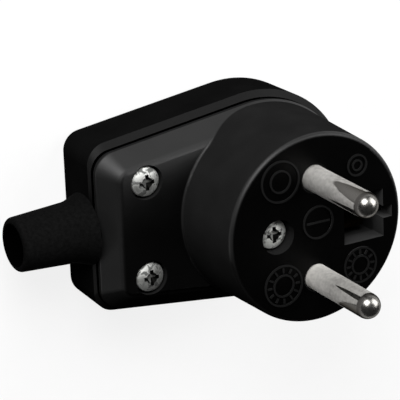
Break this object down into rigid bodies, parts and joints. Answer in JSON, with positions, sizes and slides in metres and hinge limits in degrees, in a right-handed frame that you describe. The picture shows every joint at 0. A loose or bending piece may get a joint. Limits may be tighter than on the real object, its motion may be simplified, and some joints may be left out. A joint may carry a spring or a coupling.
{
  "type": "angled mains plug",
  "caption": "Right-angle mains plug with round pins on a round boss, a female earth slot, a two-shell black housing and a rubber cord sleeve.",
  "frame": {"origin": "on the flat back of the rear cover, on the axis midway between the two pins", "axes": "+Z along the pins and out of the pin face, +X from the cord end to the round end, +Y along the line of the two pins"},
  "size_m": [0.0688, 0.04, 0.0532],
  "materials": {
    "housing_plastic": "semi-gloss moulded",
    "sleeve_rubber": "matte",
    "plated_brass": "bright nickel plate",
    "bare_brass": "satin",
    "zinc_steel": "bright zinc plate"
  },
  "bodies": {
    "root": {"front_housing": "housing_plastic", "rear_cover": "housing_plastic", "cord_sleeve": "sleeve_rubber", "line_pin": "plated_brass", "neutral_pin": "plated_brass", "line_terminal": "bare_brass", "neutral_terminal": "bare_brass", "earth_contact": "bare_brass", "terminal_washers": "zinc_steel", "terminal_screws": "zinc_steel", "cover_screws": "zinc_steel", "face_screw": "zinc_steel", "cover_inserts": "bare_brass", "cord_clamp": "housing_plastic", "clamp_screws": "zinc_steel"}
  },
  "joints": []
}
